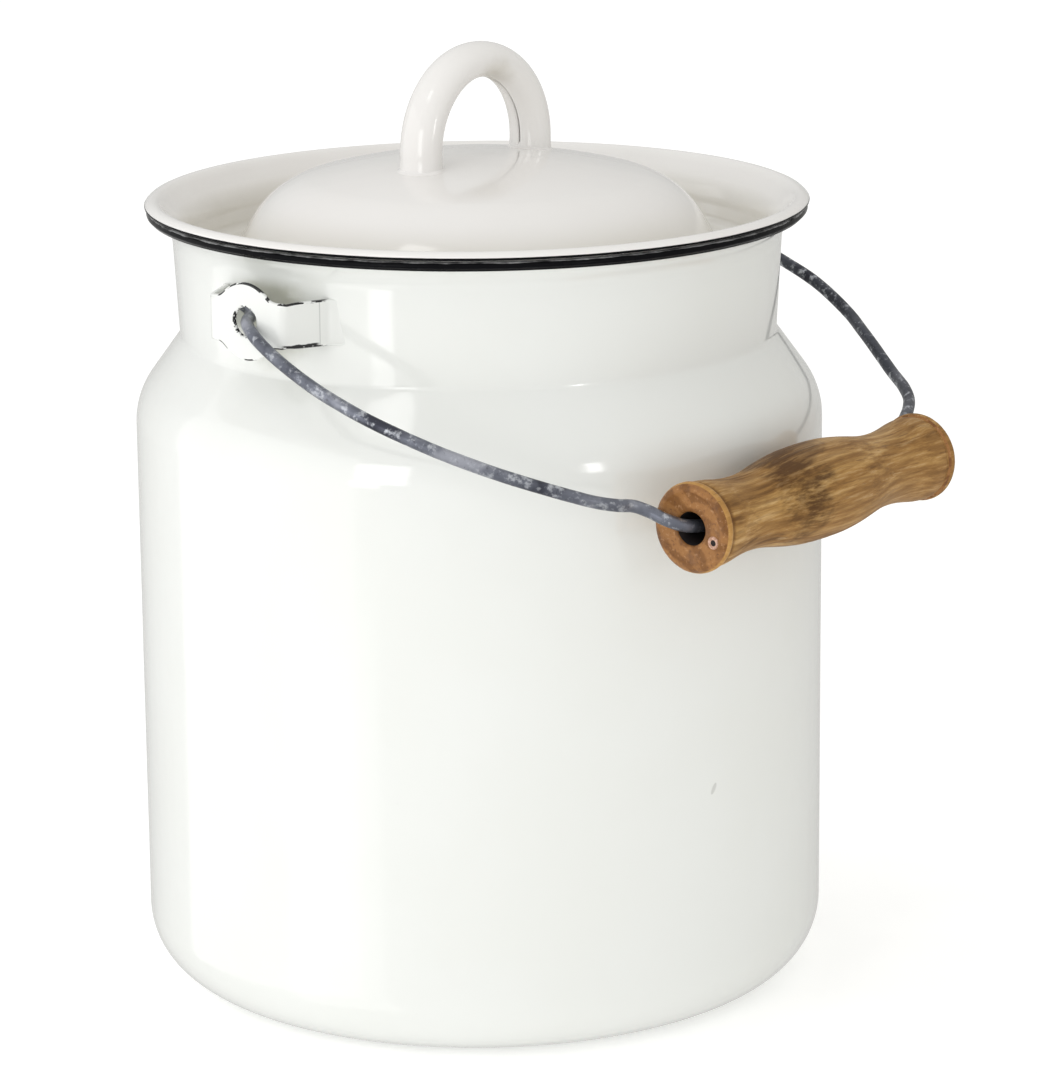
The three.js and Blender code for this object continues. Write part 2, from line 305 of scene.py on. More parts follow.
def catmull(points, spacing):
    """A smooth line through the points, with knots spaced by the root of each chord's length."""
    points = [Vector(p) for p in points]
    ends = [points[0] * 2 - points[1], *points, points[-1] * 2 - points[-2]]
    line = []
    for i in range(1, len(ends) - 2):
        p0, p1, p2, p3 = ends[i - 1 : i + 3]
        t1 = (p1 - p0).length ** 0.5
        t2 = t1 + (p2 - p1).length ** 0.5
        t3 = t2 + (p3 - p2).length ** 0.5
        count = max(2, math.ceil((p2 - p1).length / spacing))
        for k in range(count):
            t = t1 + (t2 - t1) * k / count
            a1 = p0 * ((t1 - t) / t1) + p1 * (t / t1)
            a2 = p1 * ((t2 - t) / (t2 - t1)) + p2 * ((t - t1) / (t2 - t1))
            a3 = p2 * ((t3 - t) / (t3 - t2)) + p3 * ((t - t2) / (t3 - t2))
            b1 = a1 * ((t2 - t) / t2) + a2 * (t / t2)
            b2 = a2 * ((t3 - t) / (t3 - t1)) + a3 * ((t - t1) / (t3 - t1))
            line.append(b1 * ((t2 - t) / (t2 - t1)) + b2 * ((t - t1) / (t2 - t1)))
    line.append(points[-1])
    return line


def sweep(name, line, section, across):
    """A closed section swept along a line that lies square to the vector across. Ends are capped."""
    vertices, faces = [], []
    last = len(line) - 1
    count = len(section(0.0, 0))
    for i, here in enumerate(line):
        tangent = (line[min(i + 1, last)] - line[max(i - 1, 0)]).normalized()
        side = across.normalized()
        normal = side.cross(tangent).normalized()
        for u, v in section(i / last, i):
            vertices.append(here + normal * u + side * v)
    for i in range(last):
        for k in range(count):
            n = (k + 1) % count
            faces.append([i * count + k, i * count + n, (i + 1) * count + n, (i + 1) * count + k])
    faces.append(list(range(count))[::-1])
    faces.append([last * count + k for k in range(count)])
    piece = mesh_object(name, vertices, faces)
    drop_loose(piece)
    return piece


def ripple(*values):
    """Smooth noise from -1 to 1 at a point."""
    return noise.noise(Vector(values))


# ---- materials


class Graph:
    """A material's nodes, made and joined in one call each."""

    def __init__(self, name):
        self.material = bpy.data.materials.new(name)
        self.material.use_nodes = True
        self.nodes = self.material.node_tree.nodes
        self.links = self.material.node_tree.links
        self.nodes.clear()
        self.shader = self.add("ShaderNodeBsdfPrincipled")
        output = self.add("ShaderNodeOutputMaterial")
        self.links.new(self.shader.outputs[0], output.inputs["Surface"])
        self.place = self.add("ShaderNodeTexCoord").outputs["Object"]

    def add(self, kind, **inputs):
        node = self.nodes.new(kind)
        for key, value in inputs.items():
            self.put(node.inputs[key.replace("_", " ")], value)
        return node

    def put(self, socket, value):
        if isinstance(value, bpy.types.NodeSocket):
            self.links.new(value, socket)
        else:
            socket.default_value = value

    def set(self, **inputs):
        for key, value in inputs.items():
            self.put(self.shader.inputs[key.replace("_", " ")], value)

    def mapped(self, scale):
        return self.add("ShaderNodeMapping", Vector=self.place, Scale=scale).outputs["Vector"]

    def noise(self, vector, scale, detail=3.0, rough=0.55, distortion=0.0):
        node = self.add("ShaderNodeTexNoise", Vector=vector, Scale=scale, Detail=detail)
        node.inputs["Roughness"].default_value = rough
        node.inputs["Distortion"].default_value = distortion
        return node.outputs["Fac"]

    def math(self, kind, a, b=0.0, c=None):
        node = self.nodes.new("ShaderNodeMath")
        node.operation = kind
        self.put(node.inputs[0], a)
        self.put(node.inputs[1], b)
        if c is not None:
            self.put(node.inputs[2], c)
        return node.outputs[0]

    def times(self, a, b):
        return self.math("MULTIPLY", a, b)

    def ramp(self, value, stops):
        """A colour ramp of (position, colour or grey) stops."""
        node = self.nodes.new("ShaderNodeValToRGB")
        node.color_ramp.interpolation = "EASE"
        elements = node.color_ramp.elements
        while len(elements) < len(stops):
            elements.new(0.5)
        for element, (position, colour) in zip(elements, stops):
            element.position = position
            element.color = (*colour, 1) if isinstance(colour, tuple) else (colour,) * 3 + (1,)
        self.put(node.inputs["Fac"], value)
        return node.outputs["Color"]

    def spread(self, value, low, high, to_low=0.0, to_high=1.0):
        node = self.nodes.new("ShaderNodeMapRange")
        node.interpolation_type = "SMOOTHSTEP"
        for key, number in zip(("From Min", "From Max", "To Min", "To Max"), (low, high, to_low, to_high)):
            node.inputs[key].default_value = number
        self.put(node.inputs["Value"], value)
        return node.outputs["Result"]

    def mix(self, factor, a, b):
        node = self.nodes.new("ShaderNodeMix")
        node.data_type = "RGBA"
        self.put(node.inputs["Factor"], factor)
        for socket, value in ((node.inputs[6], a), (node.inputs[7], b)):
            self.put(socket, (*value, 1) if isinstance(value, tuple) else value)
        return node.outputs[2]

    def distance(self, centre, source=None):
        node = self.nodes.new("ShaderNodeVectorMath")
        node.operation = "DISTANCE"
        self.put(node.inputs[0], source or self.place)
        node.inputs[1].default_value = centre
        return node.outputs["Value"]

    def axis(self, name):
        node = self.add("ShaderNodeSeparateXYZ")
        self.put(node.inputs[0], self.place)
        return node.outputs[name]

    def bump(self, *layers):
        """Bump from (height, distance, strength) layers."""
        normal = None
        for height, distance, strength in layers:
            node = self.nodes.new("ShaderNodeBump")
            node.inputs["Distance"].default_value = distance
            node.inputs["Strength"].default_value = strength
            self.put(node.inputs["Height"], height)
            if normal is not None:
                self.put(node.inputs["Normal"], normal)
            normal = node.outputs["Normal"]
        self.put(self.shader.inputs["Normal"], normal)


WHITE = (0.822, 0.834, 0.806)
WHITE_WARM = (0.812, 0.823, 0.79)
LID_WHITE = (0.852, 0.836, 0.812)
LID_WHITE_WARM = (0.842, 0.82, 0.795)
BLACK = (0.004, 0.004, 0.005)


def enamel_white(name, tint=WHITE, warm=WHITE_WARM, mark=None, dullness=1.0):
    """Poured white enamel: a glassy skin that ripples a little, with a few pinholes under it."""
    g = Graph(name)
    cloud = g.noise(g.place, 22.0, 3.0, 0.5)
    colour = g.mix(g.spread(cloud, 0.35, 0.7), tint, warm)
    specks = g.add("ShaderNodeTexVoronoi", Vector=g.place, Scale=170.0).outputs["Distance"]
    rare = g.spread(g.noise(g.place, 90.0, 1.0), 0.74, 0.78)
    pinhole = g.times(g.spread(specks, 0.05, 0.09, 1.0, 0.0), rare)
    colour = g.mix(g.times(pinhole, 0.3), colour, (0.30, 0.29, 0.27))
    if mark is not None:
        colour = mark(g, colour)
    g.set(Base_Color=colour, IOR=1.55)
    g.set(Roughness=g.spread(g.noise(g.place, 60.0, 4.0), 0.3, 0.75, 0.10 * dullness, 0.17 * dullness))
    g.set(Coat_Weight=0.6 / dullness**2, Coat_Roughness=0.06 * dullness)
    peel = g.noise(g.place, 320.0, 2.0, 0.4)
    swell = g.noise(g.place, 34.0, 1.5, 0.4)
    g.bump((swell, 0.0009, 0.32), (peel, 0.00005, 0.22), (pinhole, 0.0002, -0.3))
    return g.material


def tick_mark(g, colour):
    """One short faint scratch low on the wall."""
    start, end = Vector((-15.9, -88.6, 65.0)) * MM, Vector((-14.5, -88.8, 67.6)) * MM
    faint = g.math("ADD", g.distance(tuple(start)), g.distance(tuple(end)))
    length = (end - start).length
    line = g.spread(faint, length * 1.01, length * 1.16, 1.0, 0.0)
    return g.mix(g.times(line, 0.3), colour, (0.22, 0.21, 0.19))


def shade_behind_eye(g, colour):
    """Painted shade: brown-grey darkening on the neck behind the ears, where strap and neck close in."""
    x, y = g.math("ABSOLUTE", g.axis("X")), g.axis("Y")
    spot = g.add("ShaderNodeCombineXYZ", X=x, Y=y, Z=g.axis("Z")).outputs[0]
    away = g.distance(tuple(Vector((NECK_TOP_R, 2, PIVOT_Z)) * MM), spot)
    ragged = g.math("MULTIPLY_ADD", g.noise(g.place, 200.0, 3.0), 0.005, away)
    # Only the outside of the neck's cone, and only below the flare.
    slope = (NECK_TOP_R - NECK_LOW_R) / (NECK_TOP_Z - NECK_LOW_Z)
    flat = g.add("ShaderNodeCombineXYZ", X=x, Y=y).outputs[0]
    on_cone = g.math("MULTIPLY_ADD", g.axis("Z"), -slope, g.distance((0, 0, 0), flat))
    mid_sheet = (NECK_LOW_R - slope * NECK_LOW_Z - SHEET / 2) * MM
    outside = g.spread(on_cone, mid_sheet, mid_sheet + 0.2 * MM)
    below_flare = g.spread(g.axis("Z"), (NECK_TOP_Z - 2) * MM, (NECK_TOP_Z + 2) * MM, 1.0, 0.0)
    there = g.times(outside, below_flare)
    # Painted shade between strap and neck, coloured brown-grey.
    behind_eye_shade = g.times(g.spread(ragged, 0.009, 0.0185, 0.62, 0.0), there)
    return g.mix(behind_eye_shade, colour, (0.30, 0.295, 0.20))


# A real scratch low on the wall, plus the painted shade behind the ears.
def wall_marks(g, colour):
    return shade_behind_eye(g, tick_mark(g, colour))


def bare_ramp_edges(g, colour):
    """Along the long edges of the nearer ramps the black ground coat shows on the face as well. A faint grey
    line of painted shade lies where each ramp lands on the neck.
    """
    height = g.math("SUBTRACT", g.axis("Z"), PIVOT_Z * MM)
    from_edge = g.math("SUBTRACT", (STRAP_HALF_HEIGHT - 0.1) * MM, g.math("ABSOLUTE", height))
    ragged = g.math("MULTIPLY_ADD", g.noise(g.place, 420.0, 3.0, 0.6), -0.0009, from_edge)
    below = g.spread(height, -0.001, 0.001, -0.0007, 0.0)
    rim = g.spread(g.math("ADD", ragged, below), -0.0002, 0.0, 1.0, 0.0)
    along = g.times(g.axis("Y"), -1.0)
    ramp = g.times(g.spread(along, 0.0115, 0.0125), g.spread(along, 0.0158, 0.0164, 1.0, 0.0))
    # Painted shade: a faint grey line in the crease where the ramp lands on the neck.
    foot_crease_shade = g.times(g.spread(along, 0.0162, 0.0163), g.spread(along, 0.0163, 0.0164, 1.0, 0.0))
    colour = g.mix(g.times(foot_crease_shade, 0.4), colour, (0.20, 0.21, 0.20))
    return g.mix(g.times(rim, ramp), colour, BLACK)


def well_shade(g, colour):
    """Painted shade: the sunken ring round the dome is darkened and yellowed."""
    flat = g.add("ShaderNodeCombineXYZ", X=g.axis("X"), Y=g.axis("Y")).outputs[0]
    away = g.distance((0, 0, 0), flat)
    ring = g.times(g.spread(away, 0.052, 0.064), g.spread(away, 0.074, 0.081, 1.0, 0.0))
    cloudy = g.spread(g.noise(g.place, 30.0, 3.0), 0.3, 0.7, 0.65, 1.0)
    # Painted shade in the well, darker and yellower than the lid.
    return g.mix(g.times(ring, cloudy), colour, (0.70, 0.675, 0.605))


def arch_crook_shade(g, colour):
    """Painted shade: tan darkening in the crook of the arch, under its top."""
    crook = (0.002, 0, (ARCH_HIGH.z - 2 * ARCH_HALF_THICK - 1.5) * MM)
    ragged = g.math("MULTIPLY_ADD", g.noise(g.place, 200.0, 3.0), 0.004, g.distance(crook))
    # Painted shade under the top of the arch.
    return g.mix(g.spread(ragged, 0.005, 0.0125, 0.65, 0.0), colour, (0.46, 0.42, 0.32))


def enamel_black(name, highlight_z=None):
    """Black enamel over a rolled edge, with small lumps. Above the given height a grey line is painted on as
    a highlight.
    """
    g = Graph(name)
    lumps = g.noise(g.place, 420.0, 3.0)
    worn = g.spread(g.noise(g.mapped((1, 1, 3)), 240.0, 4.0, 0.7), 0.62, 0.72)
    colour = g.mix(g.times(worn, 0.5), BLACK, (0.04, 0.04, 0.045))
    if highlight_z is not None:
        # Painted highlight: a patchy grey band along the top of the bead.
        height = g.math("MULTIPLY_ADD", g.noise(g.place, 160.0, 3.0), 0.0006, g.axis("Z"))
        band = g.spread(height, (highlight_z + 0.26) * MM, (highlight_z + 0.42) * MM)
        patchy = g.spread(g.noise(g.place, 130.0, 4.0, 0.65), 0.36, 0.62, 0.25, 1.0)
        colour = g.mix(g.times(band, patchy), colour, (0.50, 0.50, 0.50))
    g.set(Base_Color=colour, IOR=1.5, Specular_IOR_Level=0.06)
    g.set(Roughness=g.spread(g.noise(g.place, 150.0, 3.0), 0.3, 0.7, 0.12, 0.3))
    g.bump((lumps, 0.00012, 0.35))
    return g.material


def enamel_cut_edge(name):
    """A cut edge where the white has drawn back and the black ground coat shows in broken lines."""
    g = Graph(name)
    broken = g.noise(g.mapped((1.0, 1.0, 1.4)), 170.0, 3.0, 0.65)
    along = g.times(g.axis("Y"), -1.0)
    clear = g.times(g.spread(along, 0.0164, 0.0172, 1.0, 0.0), g.spread(along, -0.0092, -0.0084))
    black = g.times(g.spread(broken, 0.44, 0.48), clear)
    spot = g.add("ShaderNodeCombineXYZ", Y=g.axis("Y"), Z=g.axis("Z")).outputs[0]
    in_hole = g.spread(g.distance((0, 0, PIVOT_Z * MM), spot), 0.0042, 0.0045, 1.0, 0.0)
    chips = g.spread(g.noise(g.place, 900.0, 3.0, 0.6), 0.46, 0.54)
    black = g.mix(in_hole, black, chips)
    g.set(Base_Color=g.mix(black, WHITE, BLACK), Roughness=0.14, IOR=1.52)
    g.set(Coat_Weight=0.25, Coat_Roughness=0.04)
    g.bump((broken, 0.00015, 0.3))
    return g.material


def zinc_wire(name):
    """Drawn galvanised wire: dull blue grey with darker spells and rubbed bright flecks."""
    g = Graph(name)
    spells = g.noise(g.place, 55.0, 4.0, 0.6)
    colour = g.ramp(
        spells,
        [(0.32, (0.055, 0.057, 0.075)), (0.5, (0.17, 0.18, 0.215)), (0.66, (0.40, 0.41, 0.46))],
    )
    # Painted shade: the arm beyond the grip is darkened.
    shaded_arm = g.spread(g.axis("X"), GRIP_HIGH.x * MM - 0.01, GRIP_HIGH.x * MM + 0.02, 0.0, 0.72)
    colour = g.mix(shaded_arm, colour, (0.028, 0.029, 0.036))
    flecks = g.spread(g.noise(g.place, 380.0, 5.0, 0.7), 0.52, 0.66)
    colour = g.mix(g.times(flecks, 0.7), colour, (0.60, 0.62, 0.66))
    pits = g.spread(g.noise(g.place, 900.0, 4.0, 0.7), 0.30, 0.42, 1.0, 0.0)
    colour = g.mix(g.times(pits, 0.5), colour, (0.04, 0.04, 0.045))
    g.set(Base_Color=colour, Metallic=0.82, IOR=1.5)
    g.set(Roughness=g.spread(g.noise(g.place, 260.0, 4.0), 0.3, 0.7, 0.30, 0.52))
    g.bump((g.noise(g.place, 700.0, 4.0, 0.65), 0.0001, 0.5), (spells, 0.0003, 0.25))
    return g.material


def turned_wood(name):
    """Waxed hardwood: grain along the grip, dark stained patches and fine pores."""
    g = Graph(name)
    along = g.mapped((0.10, 1, 1))
    bend = g.noise(g.mapped((0.35, 1, 1)), 30.0, 2.0)
    warp = g.add("ShaderNodeVectorMath")
    warp.operation = "MULTIPLY_ADD"
    g.put(warp.inputs[0], bend)
    warp.inputs[1].default_value = (0.006, 0.012, 0.012)
    g.put(warp.inputs[2], along)
    grain = g.noise(warp.outputs[0], 330.0, 6.0, 0.62)
    tone = g.noise(g.mapped((0.22, 1, 1)), 85.0, 3.0, 0.5)
    colour = g.ramp(
        grain,
        [
            (0.30, (0.15, 0.07, 0.018)),
            (0.45, (0.33, 0.17, 0.046)),
            (0.58, (0.455, 0.26, 0.082)),
            (0.74, (0.63, 0.41, 0.175)),
        ],
    )
    colour = g.mix(g.spread(tone, 0.35, 0.65, 0.0, 0.45), colour, (0.32, 0.17, 0.058))
    fibres = g.noise(g.mapped((0.06, 1, 1)), 800.0, 5.0, 0.7)
    colour = g.mix(g.spread(fibres, 0.40, 0.56, 0.45, 0.0), colour, (0.15, 0.068, 0.018))
    colour = g.mix(g.spread(fibres, 0.54, 0.68, 0.0, 0.35), colour, (0.66, 0.46, 0.24))
    patches = g.noise(g.mapped((0.55, 1, 1)), 62.0, 5.0, 0.62, 0.4)
    handled = (GRIP_AXIS + Vector((-9, -2, 11))) * MM
    middle = g.spread(g.distance(tuple(handled)), 0.004, 0.026, 0.22, 0.0)
    stain = g.spread(g.math("ADD", patches, middle), 0.60, 0.76)
    fibrous = g.spread(fibres, 0.42, 0.6, 0.92, 0.5)
    colour = g.mix(g.times(stain, fibrous), colour, (0.085, 0.036, 0.008))
    # The bead turned at the left end is oranger; the groove behind it is darkened with painted shade.
    from_end = g.math("SUBTRACT", g.axis("X"), GRIP_LOW.x * MM)
    colour = g.mix(g.spread(from_end, 0.0024, 0.0031, 0.55, 0.0), colour, (0.56, 0.30, 0.09))
    groove_end = g.spread(from_end, 0.0038, 0.0048, 1.0, 0.0)
    groove_shade = g.times(g.spread(from_end, 0.0027, 0.0033), groove_end)
    # Painted shade in the groove.
    colour = g.mix(g.times(groove_shade, 0.6), colour, (0.12, 0.05, 0.015))
    pores = g.noise(g.mapped((0.06, 1, 1)), 1500.0, 3.0, 0.6)
    pore = g.spread(pores, 0.30, 0.40, 1.0, 0.0)
    colour = g.mix(g.times(pore, 0.45), colour, (0.12, 0.06, 0.025))
    g.set(Base_Color=colour, IOR=1.48, Specular_IOR_Level=0.18)
    g.set(Roughness=g.spread(grain, 0.3, 0.7, 0.58, 0.42))
    g.set(Coat_Weight=0.03, Coat_Roughness=0.3)
    g.bump((grain, 0.00035, 0.35), (pores, 0.00012, 0.35), (patches, 0.0004, 0.15))
    return g.material


def end_grain(name):
    """The grip's end faces: redder end grain with faint rings, dark round the bore."""
    g = Graph(name)
    rings = g.add("ShaderNodeTexWave", Vector=g.mapped((0.2, 1, 1)), Scale=60.0, Distortion=9.0)
    rings.wave_type = "RINGS"
    rings.rings_direction = "X"
    rings.inputs["Detail"].default_value = 3.0
    rings.inputs["Detail Scale"].default_value = 1.6
    speckle = g.noise(g.place, 900.0, 4.0, 0.7)
    colour = g.ramp(rings.outputs["Fac"], [(0.2, (0.215, 0.09, 0.024)), (0.8, (0.33, 0.15, 0.046))])
    colour = g.mix(g.spread(speckle, 0.56, 0.66, 0.0, 0.5), colour, (0.52, 0.29, 0.14))
    colour = g.mix(g.spread(speckle, 0.34, 0.44, 0.6, 0.0), colour, (0.10, 0.04, 0.02))
    grime = g.spread(g.noise(g.place, 140.0, 4.0, 0.6), 0.5, 0.68, 0.0, 0.6)
    colour = g.mix(grime, colour, (0.13, 0.06, 0.03))
    g.set(Base_Color=colour, Roughness=0.45, IOR=1.48, Specular_IOR_Level=0.25)
    g.set(Coat_Weight=0.05, Coat_Roughness=0.25)
    g.bump((speckle, 0.0002, 0.5), (rings.outputs["Fac"], 0.0002, 0.3))
    return g.material


def bore_shade(name):
    """Painted shade: the inside of a drilled hole, coloured near black."""
    g = Graph(name)
    soot = g.noise(g.mapped((0.3, 1, 1)), 400.0, 4.0)
    colour = g.ramp(soot, [(0.35, (0.006, 0.004, 0.005)), (0.7, (0.022, 0.013, 0.011))])
    g.set(Base_Color=colour, Roughness=0.8)
    g.bump((soot, 0.0002, 0.4))
    return g.material


def pin_lip(name):
    """Pale wood raised round the small hole."""
    g = Graph(name)
    speckle = g.noise(g.place, 1400.0, 3.0, 0.6)
    g.set(Base_Color=g.ramp(speckle, [(0.35, (0.42, 0.22, 0.14)), (0.65, (0.66, 0.42, 0.31))]), Roughness=0.4)
    g.bump((speckle, 0.0001, 0.4))
    return g.material


def floor_paper(name):
    g = Graph(name)
    tone = g.noise(g.place, 40.0, 4.0)
    g.set(Base_Color=g.ramp(tone, [(0.3, (0.90, 0.90, 0.895)), (0.7, (0.925, 0.925, 0.92))]), Roughness=0.8)
    g.set(Specular_IOR_Level=0.1)
    g.set(Emission_Color=(1.0, 1.0, 0.995, 1), Emission_Strength=0.3)
    return g.material


# ---- pail


def shell_outside():
    """The shell's outside, from the middle of the base up to the end of the flare."""
    cone_r = WALL_R - SHOULDER_R * (1 - math.cos(math.radians(SHOULDER_LEAN)))
    cone_z = SHOULDER_Z + SHOULDER_R * math.sin(math.radians(SHOULDER_LEAN))
    fold_r = 2.5
    fold_z = NECK_LOW_Z - 0.2
    return [
        (0, 0),
        *arc(WALL_R - BASE_CORNER_R, BASE_CORNER_R, BASE_CORNER_R, -90, 0, 24),
        *arc(WALL_R - SHOULDER_R, SHOULDER_Z, SHOULDER_R, 0, SHOULDER_LEAN, 14),
        *arc(NECK_LOW_R + fold_r, fold_z, fold_r, 180 + SHOULDER_LEAN, 177, 8),
        *arc(NECK_TOP_R + FLARE_R, NECK_TOP_Z, FLARE_R, 178, 180 - FLARE_TURN, 18),
    ]


def pail_shell():
    outside = refine(shell_outside(), 4)
    inside = offset_left(outside, SHEET)[::-1]
    inside[-1] = (0, inside[-1][1])

    def pressed(angle, r, z):
        """Pressed sheet is never quite round or straight."""
        if r < WALL_R - BASE_CORNER_R:
            return 0
        x, y = math.cos(angle), math.sin(angle)
        depth = 0.07 + 0.07 * ripple(x * 1.7, y * 1.7, z / 55) + 0.03 * ripple(x * 5, y * 5, z / 20)
        return -max(0.0, depth)

    return revolve("enamel_shell", outside + inside, SHEET_STEPS, pressed)


def mouth_bead():
    radius = BEAD_R - 0.03
    section = []
    for r, z in arc(0, 0, radius, 360, 0, 36):
        # The roll was closed from below, which flattened its lower outside.
        flat = max(0.0, -2 * r * z / radius**2)
        scale = 1 - 0.24 * flat**1.5
        section.append((BEAD_CENTRE_R + r * scale, BEAD_CENTRE_Z + z * scale))

    def lumps(angle, r, z):
        x, y = math.cos(angle), math.sin(angle)
        return 0.05 * ripple(x * 9, y * 9, z / 2) - 0.04

    return revolve("rolled_mouth_edge", section, BEAD_STEPS, lumps)


# ---- ears


def ear_half_height(s):
    """Half the ear's height at a distance s along the strap from the eye's centre."""
    disc = math.sqrt(max(EYE_R**2 - s**2, 0))
    strap = STRAP_HALF_HEIGHT - 0.35 * math.exp(-((abs(s) - 11.5) ** 2) / 8)
    soft = 1.3
    joined = (disc + strap + math.sqrt((disc - strap) ** 2 + soft**2)) / 2
    return joined - 0.08


def strap_path():
    """The strap's middle line seen from above, at +X, from the eye's centre to one foot's end."""
    plate = EYE_FACE_X - SHEET / 2
    foot_r = NECK_TOP_R - 0.1

    def on_neck(y, lift):
        return ((foot_r + lift) * math.cos(math.asin(y / foot_r)), y)

    corners = [
        (plate, 0),
        (plate, STRAP_FOLD_Y),
        on_neck(STRAP_LAND_Y + 0.4, 0.1),
        on_neck(STRAP_LAND_Y + 2.6, -0.75),
        on_neck(STRAP_END_Y, -1.1),
    ]
    line = []
    bends = {1: 1.5, 2: 0.9, 3: 0.8}
    for i, corner in enumerate(corners):
        here = Vector(corner)
        if i not in bends:
            line.append(here)
            continue
        before = (Vector(corners[i - 1]) - here).normalized()
        after = (Vector(corners[i + 1]) - here).normalized()
        start, end = here + before * bends[i], here + after * bends[i]
        for k in range(9):
            t = k / 8
            line.append(start.lerp(here, t).lerp(here.lerp(end, t), t))
    return line


def path_reader(line):
    """A function from a length along the line to its point and its left-hand normal."""
    lengths = [0.0]
    for a, b in zip(line, line[1:]):
        lengths.append(lengths[-1] + (b - a).length)

    def read(s):
        s = min(max(s, 0), lengths[-1] - 1e-6)
        i = next(k for k in range(len(line) - 1) if lengths[k + 1] > s)
        t = (s - lengths[i]) / (lengths[i + 1] - lengths[i])
        a = (line[i + 1] - line[max(i - 1, 0)]).normalized() if i else Vector((0, 1))
        b = (line[min(i + 2, len(line) - 1)] - line[i]).normalized()
        tangent = a.lerp(b, t).normalized()
        return line[i].lerp(line[i + 1], t), Vector((tangent.y, -tangent.x))

    return read, lengths[-1]


def ear_outline_reach(angle, reach):
    """How far the ear's outline lies from the eye's centre in one direction, up to |s| = reach."""
    c, s = abs(math.cos(angle)), abs(math.sin(angle))
    low, high = 0.0, reach / max(c, 1e-9)
    if s * high <= ear_half_height(c * high):
        return high
    high = min(high, 2 * EYE_R)
    for _ in range(40):
        middle = (low + high) / 2
        if s * middle <= ear_half_height(c * middle):
            low = middle
        else:
            high = middle
    return low


def ear_mesh(name):
    """A strap bracket with a round eye at +X, 1.2 mm sheet with rounded cut edges."""
    read, strap_length = path_reader(strap_path())
    inset = EAR_EDGE_ROUND
    reach = 12.6
    rows = 10
    edge_v = ear_half_height(reach) - inset
    fan = [math.atan2(edge_v * (2 * j / rows - 1), reach) for j in range(rows + 1)]
    top = math.pi - fan[-1]
    upper = [fan[-1] + (top - fan[-1]) * k / EAR_ARC_STEPS for k in range(1, EAR_ARC_STEPS)]
    angles = fan + upper + [math.pi - a for a in fan[::-1]] + [-a for a in upper[::-1]]
    flat, quads = [], []
    rings = 9
    for a in angles:
        outer = ear_outline_reach(a, reach)
        if outer * abs(math.cos(a)) < reach - 1e-6:
            outer -= inset
        for k in range(rings + 1):
            radius = EYE_HOLE_R + inset + (outer - EYE_HOLE_R - inset) * k / rings
            flat.append((radius * math.cos(a), radius * math.sin(a)))
    count = len(angles)
    ring = rings + 1
    for i in range(count):
        n = (i + 1) % count
        for k in range(rings):
            quads.append([i * ring + k, n * ring + k, n * ring + k + 1, i * ring + k + 1])
    hole_loop = [i * ring for i in range(count)][::-1]
    right_edge = [i * ring + rings for i in range(rows + 1)]
    first_left = rows + 1 + len(upper)
    left_edge = [i * ring + rings for i in range(first_left, first_left + rows + 1)]
    top_arc = [i * ring + rings for i in range(rows + 1, first_left)]
    low_arc = [i * ring + rings for i in range(first_left + rows + 1, count)]
    strips = {}
    for side, edge in ((1, right_edge), (-1, left_edge)):
        columns = [edge]
        for k in range(1, EAR_STRAP_STEPS + 1):
            s = reach + (strap_length - reach) * k / EAR_STRAP_STEPS
            taper = max(0.0, (s - strap_length + 2.2) / 2.2)
            half = (ear_half_height(s) - inset) * (1 - 0.30 * taper**2)
            column = []
            for j in range(rows + 1):
                share = (2 * j / rows - 1) * side
                column.append(len(flat))
                flat.append((s * side, half * share))
            columns.append(column)
            for j in range(rows):
                quads.append([columns[k - 1][j], columns[k][j], columns[k][j + 1], columns[k - 1][j + 1]])
        strips[side] = columns
    outer_loop = [c[0] for c in strips[1][1:]] + strips[1][-1][1:-1] + [c[-1] for c in strips[1][:0:-1]]
    outer_loop += [right_edge[-1]] + top_arc + [left_edge[0]]
    outer_loop += [c[0] for c in strips[-1][1:]] + strips[-1][-1][1:-1] + [c[-1] for c in strips[-1][:0:-1]]
    outer_loop += [left_edge[-1]] + low_arc + [right_edge[0]]

    def place(s, v, w):
        point, normal = read(abs(s))
        thin = 1 - 0.75 * max(0.0, (abs(s) - strap_length + 4) / 4)
        point = point + normal * w * thin
        return (point.x, math.copysign(point.y, s) if s else 0.0, PIVOT_Z + v)

    half = SHEET / 2
    vertices = [place(s, v, half) for s, v in flat] + [place(s, v, -half) for s, v in flat]
    total = len(flat)
    faces = quads + [[i + total for i in q[::-1]] for q in quads]
    plain = len(faces)
    for loop in (outer_loop, hole_loop):
        size = len(loop)
        previous = loop
        outwards = []
        for i in range(size):
            a, b = Vector(flat[loop[i - 1]]), Vector(flat[loop[(i + 1) % size]])
            along = (b - a).normalized()
            outwards.append(Vector((along.y, -along.x)))
        for k in range(1, EAR_EDGE_STEPS):
            turn = math.radians(90 - 180 * k / EAR_EDGE_STEPS)
            row = []
            for index, out in zip(loop, outwards):
                s, v = Vector(flat[index]) + out * inset * math.cos(turn)
                row.append(len(vertices))
                vertices.append(place(s, v, half * math.sin(turn)))
            for i in range(size):
                n = (i + 1) % size
                faces.append([previous[i], row[i], row[n], previous[n]])
            previous = row
        bottom = [i + total for i in loop]
        for i in range(size):
            n = (i + 1) % size
            faces.append([previous[i], bottom[i], bottom[n], previous[n]])
    piece = mesh_object(name, vertices, faces)
    for polygon in piece.data.polygons[plain:]:
        polygon.material_index = 1
    drop_loose(piece)
    return piece


# ---- lid


